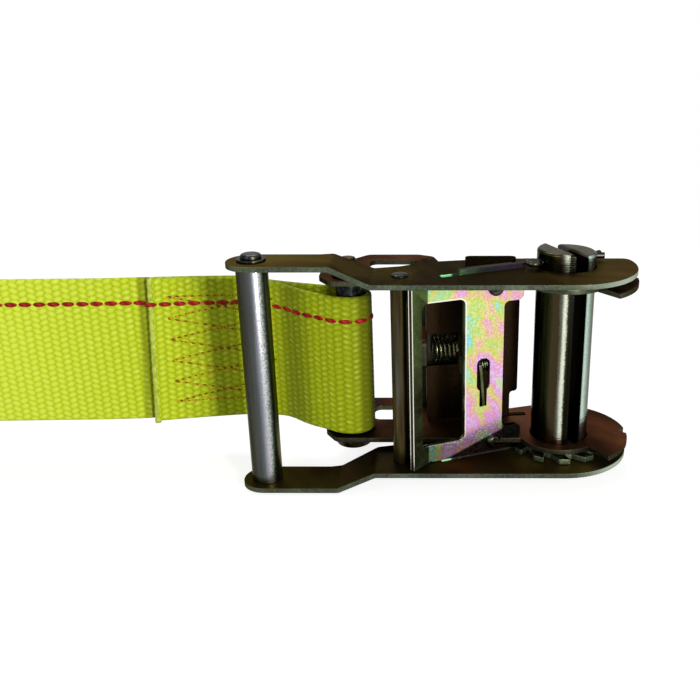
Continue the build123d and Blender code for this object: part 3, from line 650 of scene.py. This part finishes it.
def rivet_profile(node, shank, head, foot_base, head_base, rim=0.35):
    """A rivet's outline: head below, shank, head above. Each head is a low dome, a quarter of a
    super-ellipse: the radius falls as sqrt(cos a) while the height rises as sin(a)^0.6."""
    foot_rim, head_rim = foot_base - rim, head_base + rim
    foot_tall, head_tall = foot_rim - low(node)[2], high(node)[2] - head_rim
    a = np.linspace(0, pi / 2, 8)
    falling, rising = np.clip(np.cos(a), 0, 1), np.sin(a)
    return [*zip(head * rising ** 0.5, foot_rim - foot_tall * falling ** 0.6),
            (head, foot_base), (shank, foot_base), (shank, head_base), (head, head_base),
            *zip(head * falling ** 0.5, head_rim + head_tall * rising ** 0.6)]


spacer_centre = mid("spacer_tube")[:2]
spacer_radius = (high("spacer_tube") - low("spacer_tube"))[0] / 2
grip_outline = tube_profile(grip_radius, bore=grip_radius - 1.0, reach=high("grip_tube")[2])
spacer_outline = tube_profile(spacer_radius, bore=1.66, reach=high("spacer_tube")[2])
stand_for(turned("grip_tube_drawn", grip_centre, grip_outline, tube_finish, sides=96, soft=0.35),
          "handle", "pin_steel", "grip_tube")
stand_for(turned("spacer_tube_drawn", spacer_centre, spacer_outline, spacer_finish, sides=72),
          "handle", "handle_steel", "spacer_tube")

grip_rivet = rivet_profile("grip_rivet", shank=2.2, head=3.1,
                           foot_base=low("handle_plate_lower")[2], head_base=high("grip_washer")[2])
spacer_rivet = rivet_profile("spacer_rivet", shank=1.6, head=2.5,
                             foot_base=-HANDLE_FACE, head_base=HANDLE_FACE, rim=0.2)
stand_for(turned("grip_rivet_domed", grip_centre, grip_rivet, pin_finish, soft=0.12),
          "handle", "pin_steel", "grip_rivet")
stand_for(turned("spacer_rivet_domed", spacer_centre, spacer_rivet, pin_finish, soft=0.1),
          "handle", "pin_steel", "spacer_rivet")
print("spacer radius", round(float(spacer_radius), 2))

# %% [markdown]
# ## Strap bolt
# The strap loops round a shouldered bolt with a flat head below and a peened tail above, inside
# a thin sleeve that lets the loop turn.

# %% Bolt and sleeve
bolt_centre = mid("strap_bolt")[:2]
foot, top, face = low("strap_bolt")[2], high("strap_bolt")[2], high("base_plate_upper")[2]
head, shank, tail_end = 5.75, 3.0, 2.75
bolt_outline = [
    (0, foot), (head - 0.85, foot), (head, foot + 0.5), (head, -face), (shank, -face),
    (shank, face), (tail_end, face), (tail_end, face + 1.0), (tail_end + 0.05, top - 1.2),
    (2.3, top - 0.25), (1.2, top), (0, top - 0.2)]
sleeve_outline = tube_profile(outer=4.0, bore=shank + 0.06, reach=high("strap_bolt_sleeve")[2])
stand_for(turned("strap_bolt_peened", bolt_centre, bolt_outline, bolt_finish, soft=0.15),
          "base", "pin_steel", "strap_bolt")
stand_for(turned("strap_bolt_sleeve_drawn", bolt_centre, sleeve_outline, pin_finish, soft=0.2),
          "base", "pin_steel", "strap_bolt_sleeve")

# %% [markdown]
# ## Springs
# A wire piece is a circle carried along a path: at each point of the path a frame of two
# directions square to it places the ring. The springs are helices with flat end turns.


# %% Wire along a path
def wire(name, path, radius, material, sides=14):
    """A ring of `sides` points carried along a path. The ring's first direction is the part of
    a fixed vector that is square to the path, and its second is their cross product."""
    along = np.gradient(path, axis=0)
    along /= np.linalg.norm(along, axis=1, keepdims=True)
    fixed = np.eye(3)[int(np.argmin(np.ptp(path, axis=0)))] + np.array([0.013, 0.017, 0.011])
    first = fixed - (along @ fixed)[:, None] * along
    first /= np.linalg.norm(first, axis=1, keepdims=True)
    second = np.cross(along, first)
    a = np.linspace(0, 2 * pi, sides, endpoint=False)[:, None]
    size = np.broadcast_to(radius, len(path))[:, None, None]
    rings = path[:, None] + size * (np.cos(a) * first[:, None] + np.sin(a) * second[:, None])
    ends = [np.broadcast_to(path[k], (1, sides, 3)) for k in (0, -1)]
    return loft(name, np.vstack([ends[0], rings, ends[1]]), material)


CLOSED_TURNS = 0.8  # flat turns at each end of a spring


def coil(start, direction, length, radius, gauge, turns):
    """Helix points: the angle grows evenly, and the height is eased flat over the end turns."""
    side = np.array([-direction[1], direction[0], 0.0])
    whole = turns + 2 * CLOSED_TURNS
    made = np.linspace(0, 1, int(56 * whole))[:, None] * whole
    rise = np.clip((made - CLOSED_TURNS) / turns, 0, 1)
    flat = np.clip(made, 0, CLOSED_TURNS) + np.clip(made - CLOSED_TURNS - turns, 0, CLOSED_TURNS)
    height = gauge / 2 + flat * gauge + rise * (length - gauge - 2 * CLOSED_TURNS * gauge)
    angle = 2 * pi * made
    return (start + height * direction + radius * np.cos(angle) * side
            + radius * np.sin(angle) * np.array([0.0, 0.0, 1.0]))


def spring_between(name, node, body, joint, slope, radius, gauge, turns):
    """A coil in the place of a CAD spring, along its pawl's sliding direction, riding on `body`.
    The travel of `joint` gives the length the coil would have with the pawl drawn back; only that
    length is printed."""
    c, s = cos(radians(slope)), sin(radians(slope))
    direction = np.array([-c, -s, 0.0])
    reach = ((high(node) - low(node))[0] - 2 * (radius + gauge / 2) * s) / c
    start = mid(node) - direction * reach / 2
    path = coil(start, direction, reach, radius, gauge, turns)
    piece = wire(name, path, gauge / 2, spring_finish, sides=16)
    stand_for(piece, body, "spring_steel", node)
    joints = {each["name"]: each for each in frame["record"]["behaviour"]["joints"]}
    travel = joints[joint]["range_m"][1] / MM
    seat = start + direction * reach
    keep = max(1.0 - travel / reach, 0.3)
    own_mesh(piece)
    print(name, "length mm:", round(reach, 2), "drawn back:", round(reach * keep, 2))


spring_between("lock_spring_coil", "lock_spring", "base", "lock_pawl_slide", LOCK_SLOPE,
               radius=3.8, gauge=0.95, turns=4.0)
spring_between("drive_spring_coil", "drive_spring", "handle", "drive_pawl_slide", DRIVE_SLOPE,
               radius=1.6, gauge=0.6, turns=4.0)

# %% [markdown]
# ## Cotter pin
# One round wire is bent double: an open eye, two legs lying together through the spindle's
# cross hole, and their tips bent apart so that it can't fall out. Its corners are written down
# once, filled with points, and rounded with a bell curve. The strap's path is made the same way.


# %% Cotter
def run_of(path):
    """How far along a path each of its points is."""
    return np.r_[0, np.cumsum(np.linalg.norm(np.diff(path, axis=0), axis=1))]


def dense(corners, gap):
    """Points about `gap` apart along straight runs between corners."""
    run = run_of(corners)
    at = np.linspace(0, run[-1], max(4, int(run[-1] / gap)))
    return np.stack([np.interp(at, run, column) for column in np.transpose(corners)], axis=1)


def smoothed(path, width):
    """Rounds a path: every point becomes the mean of its neighbours under a bell curve."""
    span = int(3 * width)
    bell = np.exp(-0.5 * (np.arange(-span, span + 1) / width) ** 2)
    bell /= bell.sum()
    padded = np.vstack([2 * path[0] - path[span:0:-1], path, 2 * path[-1] - path[-2:-span - 2:-1]])
    return np.stack([np.convolve(column, bell, "valid") for column in padded.T], axis=1)


cotter_turn = radians(SLOT_DIRECTION + 90)
cotter_axis = np.array([cos(cotter_turn), sin(cotter_turn), 0.0])
cotter_side = np.array([-sin(cotter_turn), cos(cotter_turn), 0.0])
cotter_z = HANDLE_FACE + 2.0
hole, eye = 9.7, 1.75  # half the spindle's width there, and the eye's radius
ring = np.linspace(0.35, 2 * pi - 0.35, 9)
flat_path = [(hole + 3.3, 1.5), (hole + 0.4, 0.55), (0.6 - hole, 0.5),
             *zip(-hole - eye * np.cos(ring) - eye - 0.2, eye * np.sin(ring)),
             (0.6 - hole, -0.5), (hole + 0.4, -0.55), (hole + 3.0, -1.6)]
bent = smoothed(dense(flat_path, 0.12), 3.0)
cotter_path = bent[:, :1] * cotter_axis + bent[:, 1:] * cotter_side + np.array([0, 0, cotter_z])
stand_for(wire("cotter_pin_bent", cotter_path, 1.0, pin_finish, sides=12),
          "spindle", "pin_steel", "cotter_pin")
print("cotter pin points:", len(cotter_path))

# %% [markdown]
# ## The strap's path
# The strap is 50 mm polyester webbing. It comes in from the left, loops round the bolt's sleeve,
# and folds back along its own front, where it is sewn down. Seen from above it is a single line.
# Straight lines with fillets would look like bent card.

# %% Strap centre line
loop_x, loop_y, loop_r = -67.2, 3.2, 6.05
arc = np.radians(np.linspace(90, -90, 13))
loop = np.stack([loop_x + loop_r * np.cos(arc), loop_y + loop_r * np.sin(arc)], axis=1)
main = [(-200.0, 9.0), (-175.0, 9.9), (-150.0, 10.8), (-136.0, 12.0), (-122.0, 13.2),
        (-112.0, 14.1), (-102.0, 14.8), (-93.0, 14.2), (-84.0, 12.4), (-75.0, 10.1)]
layer = 2.08  # from the middle of one layer to the middle of the next
tail = [(-71.4, -2.3), (-76.6, 1.2), (-80.1, 3.0), (-83.8, 5.6), (-87.0, 8.6), (-90.2, 11.2),
        (-95.0, 12.3), (-102.0, 14.8 - layer), (-112.0, 14.1 - layer), (-122.0, 13.1 - layer),
        (-135.4, 11.2 - layer)]
strap_line = smoothed(dense(np.vstack([main, loop, tail]), 0.4), 4.0)
strap_s = run_of(strap_line)
strap_length = strap_s[-1]
print("strap length mm:", round(float(strap_length), 1))


def on_strap(s, z, lift):
    """Place on the strap: the centre line at arc length s, moved `lift` along its left normal,
    at height z. Towards the loop the upper edge draws in a little, as a cinched strap's does,
    and away from it the strap hangs about a millimetre lower."""
    s, z, lift = np.broadcast_arrays(s, z, lift)
    x, y = [np.interp(s, strap_s, column) for column in strap_line.T]
    ahead_x, ahead_y = [np.interp(s, strap_s, np.gradient(column, strap_s))
                        for column in strap_line.T]
    size = np.hypot(ahead_x, ahead_y)
    drawn_in = np.interp(x, [-140, -122, -105, -98, -92, -86, -76, -66, -60],
                         [0.0, 0.5, 1.3, 2.2, 2.8, 3.1, 3.3, 3.4, 3.6])
    droop = np.interp(x, [-140, -122, -105], [1.15, 0.6, 0.0])
    z = z - droop - drawn_in * (z + 25.0) / 50.0
    return np.stack([x - ahead_y / size * lift, y + ahead_x / size * lift, z], axis=-1)


def cut_slant(s, z):
    """Shifts places near the folded end, whose cut is 2.8 mm off square at its upper edge."""
    return s - 2.8 * (z + 26.0) / 51.0 * np.clip((s - strap_length + 25.0) / 25.0, 0, 1)


# %% [markdown]
# ## Webbing surface
# The strap's section is a flat bar 50 by 2 mm whose short sides are round selvedges. Carrying that
# outline along the path gives one closed band. Its face is rows of plump yarn floats.

# %% Strap mesh
half_width, half_thick = 25.0, 0.95
flat_half = half_width - half_thick
points_across, row_gap = 115, 0.62
across = np.linspace(-1, 1, points_across) * flat_half
flat_face = np.full(points_across, half_thick)
rim_turn = np.linspace(-pi / 2, pi / 2, 7)[1:-1]
rim_z, rim_out = flat_half + half_thick * np.cos(rim_turn), half_thick * np.sin(rim_turn)
outline_z = np.r_[across, rim_z, across[::-1], -rim_z]
outline_out = np.r_[-flat_face, rim_out, flat_face, -rim_out]
along_s = np.linspace(0, strap_length, int(strap_length / row_gap))
float_wide, float_high, float_lean = 2.75, 1.98, 0.34


def yarn_relief(s, z, face):
    """Height of the yarn floats, 0 in the valleys and 1 on top, at a place on the cloth.

    Columns of floats stand side by side along the strap. Each is set half a float off its
    neighbour and leans the other way, and a float swells as the cosine of both its directions."""
    column = s / float_wide
    odd = np.floor(column) % 2
    f = column % 1 - 0.5
    g = (z / float_high + odd * 0.5 + (1 - 2 * odd) * f * float_lean + face * 0.25) % 1 - 0.5
    return np.cos(pi * f) ** 0.7 * np.cos(pi * g) ** 0.7


s_grid, z_grid = np.meshgrid(along_s, outline_z, indexing="ij")
face_grid = np.broadcast_to(np.sign(outline_out), s_grid.shape)
raised = face_grid * (0.1 * yarn_relief(s_grid, z_grid, face_grid) - 0.05)
webbing_rings = on_strap(cut_slant(s_grid, z_grid), z_grid, outline_out + raised)
print("strap rings:", webbing_rings.shape)

# %% [markdown]
# ## Webbing finish
# The floats are about 2.75 mm long and 2 mm high. Each point of the mesh keeps where it lies on
# the cloth, along, across and on which face, so the weave bends with it. The distance from the
# nearest float's middle gives both the bump and a painted shade in the valleys between floats.
# The dye is a high-visibility yellow-green, with painted light towards the far left, painted
# shade and shadows along the strap, and painted glints on the floats.

# %% Woven polyester
strap_finish, start = finish("yellow_green_webbing", Roughness=0.62, Specular_IOR_Level=0.08,
                             Sheen_Weight=0.04, Sheen_Roughness=0.4)
place = start.place()
strap_x, _, strap_z = place.millimetres()
cloth_s, cloth_z, cloth_face = start.make(
    "ShaderNodeAttribute", {"attribute_name": "cloth_mm"}, out=1).parts()
column = cloth_s / float_wide
odd = column.math("FLOOR").math("MODULO", 2.0)
in_column = column.math("FRACT") - 0.5
row = (cloth_z / float_high + odd * 0.5 + (1.0 - odd * 2.0) * in_column * float_lean
       + cloth_face * 0.25)
in_row = row.math("FRACT") - 0.5
plump = (in_column * pi).math("COSINE") * 0.45 + (in_row * pi).math("COSINE") * 0.55
strands = ((in_row * 6.0 + in_column * 1.5).math("FRACT") - 0.5).math("ABSOLUTE") * 2.0
fuzz = place.noise(0.7, detail=3.0)

# Painted light: the strap is lighter towards its far left end, over a broad random tone.
left_light_painted = (0.0 - strap_x).step(100.0, 200.0) * 0.9 + place.noise(24.0) * 0.15
# Painted shade in the weave: the valleys between the floats take the darker colours.
shaded_dye = (plump * 0.8 + fuzz * 0.35).step(0.25, 1.05).tint(
    left_light_painted.tint((148, 162, 2), (194, 212, 34)),
    left_light_painted.tint((188, 206, 26), (230, 248, 84)))
# Painted shade along the strap by x in mm: the grip tube's shadow on the folded end, the slope
# beside the tube that turns from the lamp, and the spacer's shadow on the loop's outer end.
painted_shade_stops = [(-127, 0.0), (-120, 0.2), (-115, 0.26), (-108, 0.06), (-97, 0.0), (-93.6, 0.4),
         (-89, 0.62), (-85, 0.48), (-80.6, 0.12), (-74.8, 0.16), (-70.5, 0.42), (-65.5, 0.52),
         (-63, 0.88)]
painted_shade = ((strap_x + 130.0) / 71.0).shares(*[((x + 130.0) / 71.0, share) for x, share in painted_shade_stops])
# A painted shadow: the folded end's cut shades the layer just left of it.
cut_edge_shadow = (strap_x - (strap_z + 26.0) * 0.055).within(-137.8, 1.0, 2.6)
painted_shade = painted_shade + cut_edge_shadow * 0.55
shaded_dye = (painted_shade * 0.95).tint(shaded_dye, (70, 72, 3))
# Painted highlights: small glints on the crowns of the floats, none in the painted shade.
off_middle = (in_column - 0.08) * (in_column - 0.08) * 9.0 + in_row * in_row * 12.0
painted_glint = ((1.0 - painted_shade) * (1.0 - off_middle).step(0.1, 1.0)
         * place.noise(1.4, detail=1.0).step(0.42, 0.62))
feed(strap_finish, Base_Color=(painted_glint * 0.5).tint(shaded_dye, (224, 236, 118)),
     Normal=(plump * 0.8 + strands * 0.1 + fuzz * 0.2).bump(0.45, 0.00016))

webbing = loft("webbing_strap_woven", webbing_rings, strap_finish, capped=True)
cloth = webbing.data.attributes.new("cloth_mm", "FLOAT_VECTOR", "POINT")
cloth.data.foreach_set("vector", np.stack([s_grid, z_grid, face_grid], axis=-1).ravel())
stand_for(webbing, "strap", "webbing", "webbing_strap")
print("strap vertices:", len(webbing.data.vertices), "expected:", s_grid.size)

# %% [markdown]
# ## Sewing and tracer yarn
# A red tracer yarn is woven in near one edge, and two zigzag seams in brown-gold thread hold
# the folded end down. Every visible stitch is a small lens of thread, thick in its middle and
# diving into the cloth at both ends. All lenses of a seam are laid along the cloth at once.


# %% Stitches as lenses
def lenses(name, starts, ends, width, tall, material, face):
    """Stitches between pairs of (s, z) cloth places, on one face of the strap.

    Along a stitch t goes from -1 to 1. Its half width and its height shrink as sqrt(1 - t^2)."""
    t, a = np.linspace(-1, 1, 9), np.linspace(0, 2 * pi, 8, endpoint=False)
    swell = (np.sqrt(np.clip(1 - t ** 2, 0, 1)) * 0.96 + 0.04 * (1 - np.abs(t)))[:, None]
    run = ends - starts
    side = np.stack([-run[:, 1], run[:, 0]], axis=1) / np.linalg.norm(run, axis=1, keepdims=True)
    centre = (starts + ends)[:, None] / 2 + run[:, None] * t[:, None] / 2
    plan = centre[:, :, None] + side[:, None, None] * (np.cos(a) * width / 2 * swell)[..., None]
    lift = half_thick + (np.sin(a) * tall / 2 + tall / 2) * swell - 0.05
    rings = on_strap(plan[..., 0], plan[..., 1], face * lift)
    return stand_for(loft(name, rings, material), "strap", "webbing")


def thread(name, dark, light):
    """Twisted sewing thread: two tones that alternate in fine diagonal strands."""
    material, start = finish(name, Roughness=0.6, Specular_IOR_Level=0.2)
    place = start.place()
    x, _, z = place.millimetres()
    strand = ((x + z * 0.8) * 2.6).math("SINE") * 0.5 + 0.5
    tone = (strand * 0.7 + place.noise(0.3) * 0.3).step(0.15, 0.9)
    feed(material, Base_Color=tone.tint(dark, light), Normal=strand.bump(0.6, 0.00008))
    return material


red_yarn = thread("red_tracer_yarn", (120, 8, 12), (182, 28, 32))
gold_thread = thread("brown_gold_thread", (112, 72, 0), (206, 164, 16))


# %% Tracer
def tracer(name, s, face):
    """A row of long red floats that start at the arc lengths s."""
    starts = np.stack([s, np.full_like(s, tracer_z)], axis=1)
    ends = starts + (float_length, 0.0)
    return lenses(name, starts, ends, width=1.6, tall=0.55, material=red_yarn, face=face)


tracer_z, float_length, pitch = 16.65, 4.35, 4.6
first_s = np.arange(1.2, strap_length - 5.0, pitch)
tracer_front = tracer("tracer_yarn_front", first_s, face=-1.0)
tracer_back = tracer("tracer_yarn_back", first_s + pitch / 2, face=1.0)
print("tracer floats:", 2 * len(first_s))

# %% [markdown]
# The seam is two zigzags that cross, closed by a straight row at the top and at the bottom. Each
# run between corners is cut into equal stitches with short gaps where the needle went through.
# The same seam shows on the main layer's back.

# %% Seam
on_tail = strap_s > strap_length / 2
seam_left, seam_right = np.interp([128.0, 93.0], -strap_line[on_tail, 0], strap_s[on_tail])
levels = 19.1 - 7.42 * np.arange(6)
STITCH, NEEDLE_GAP = 2.3, 0.12


def stitched(corners):
    """Splits runs between corners into stitches; gives their start and end places."""
    starts, ends = [], []
    for a, b in zip(corners[:-1], corners[1:]):
        run, length = b - a, np.linalg.norm(b - a)
        cut = np.linspace(0, 1, max(1, round(length / STITCH)) + 1)[:, None]
        starts.append(a + run * (cut[:-1] + NEEDLE_GAP / length / 2))
        ends.append(a + run * (cut[1:] - NEEDLE_GAP / length / 2))
    return np.vstack(starts), np.vstack(ends)


def to_main(places):
    """Cloth places on the main layer that lie behind places on the folded end."""
    x = np.interp(places[:, 0], strap_s, strap_line[:, 0])
    s = np.interp(x, strap_line[~on_tail, 0], strap_s[~on_tail])
    return np.stack([s, places[:, 1]], axis=1)


sides = (seam_left, seam_right)
zig, zag = [np.array([(sides[(k + first) % 2], z) for k, z in enumerate(levels)])
            for first in (0, 1)]
straight = [np.array([(seam_left, z), (seam_right, z)]) for z in (levels[0], levels[-1])]
seam = [np.vstack(places) for places in zip(*[stitched(c) for c in (zig, zag, *straight)])]
sewn = dict(width=0.62, tall=0.42, material=gold_thread, face=1.0)
seam_front = lenses("seam_stitches_front", *seam, **sewn)
seam_back = lenses("seam_stitches_back", *map(to_main, seam), **sewn)
print("seam stitches:", 2 * len(seam[0]))

# %% [markdown]
# ## Sealed end
# The strap's cut end is sealed with a hot knife, which leaves a bead of melted polyester: a
# wire run along the cut, with a radius that wavers a little.

# %% Melted bead
bead_finish, start = finish("melted_webbing", Roughness=0.38, Specular_IOR_Level=0.4)
melt = start.place().noise(1.2, detail=3.0)
feed(bead_finish, Base_Color=melt.step(0.3, 0.7).tint((148, 164, 22), (198, 212, 84)),
     Normal=melt.bump(0.4, 0.0002))
bead_z = np.linspace(-25.4, 25.1, 90)
bead_path = on_strap(cut_slant(strap_length - 0.5, bead_z), bead_z, 0.25)
bead_radius = 1.0 + 0.08 * np.sin(bead_z * 1.7) + 0.06 * np.sin(bead_z * 4.3)
bead = stand_for(wire("sealed_end_bead", bead_path, bead_radius, bead_finish), "strap", "webbing")
print("bead vertices:", len(bead.data.vertices))

# %% [markdown]
# ## Floor, background and light
# A product picture needs a floor that looks white yet keeps the shadow. This one is pale, and
# glows for the camera and in reflections, but gives matt surfaces no light. The lamps are large
# and soft, as in a light tent, and the world looks white but lights weakly and evenly.


# %% Stage
def seen(start):
    """1 for camera, mirror and see-through rays, and 0 for rays that light matt surfaces."""
    outs = start.make("ShaderNodeLightPath").link.node.outputs
    camera_ray, glossy, through = [
        Socket(start.tree, outs[f"Is {kind} Ray"]) for kind in ("Camera", "Glossy", "Transmission")]
    return (camera_ray + glossy + through).clip()


half_floor, floor_z = 3.0, cad_box[0][2] - 0.0002  # metres
floor_mesh = bpy.data.meshes.new("floor")
floor_mesh.from_pydata([(x, y, floor_z) for x in (-half_floor, half_floor)
                        for y in (-half_floor, half_floor)], [], [[0, 2, 3, 1]])
floor = placed("floor", floor_mesh)

floor_finish, start = finish("pale_floor", Roughness=0.9, Specular_IOR_Level=0.0)
spot = start.place().stretch(1.0, 1.0, 0.0)
away = start.make("ShaderNodeVectorMath", {"operation": "LENGTH"}, out=1, i0=spot).step(0.14, 0.5)
feed(floor_finish, Base_Color=away.shares((0.0, 0.38), (1.0, 0.0)))
glow = start.make("ShaderNodeEmission", Color=(1.0, 1.0, 1.0, 1.0),
                  Strength=seen(start) * (away * 0.18 + 0.82))
surface = Socket(start.tree, start.tree.nodes["Principled BSDF"].outputs[0])
both = start.make("ShaderNodeAddShader", i0=surface, i1=glow)
start.tree.links.new(both.link, start.tree.nodes["Material Output"].inputs[0])
floor_mesh.materials.append(floor_finish)

world = bpy.data.worlds.new("studio")
world.use_nodes = True
bpy.context.scene.world = world
sky = world.node_tree
background = sky.nodes["Background"]
background.inputs["Color"].default_value = (1.0, 1.0, 1.0, 1.0)
sky.links.new((seen(Socket(sky)) * 0.84 + 0.16).link, background.inputs["Strength"])


# %% Lamps
def lamp(name, place, target, width, height, power):
    """A rectangular soft lamp at a place in mm, aimed at a target."""
    data = bpy.data.lights.new(name, "AREA")
    data.shape, data.size, data.size_y, data.energy = "RECTANGLE", width * MM, height * MM, power
    light = placed(name, data)
    light.location = Vector(place) * MM
    light.rotation_euler = (Vector(target) - Vector(place)).to_track_quat("-Z", "Y").to_euler()


lamp("key_lamp", (165, -420, 105), (-70, 0, 0), 60, 290, 2.2)
lamp("left_lamp", (-330, -330, 220), (-170, 0, 0), 200, 200, 0.5)
lamp("back_lamp", (-120, 260, 420), (-80, 0, 0), 260, 200, 1.1)
print("lamps:", len(bpy.data.lights))
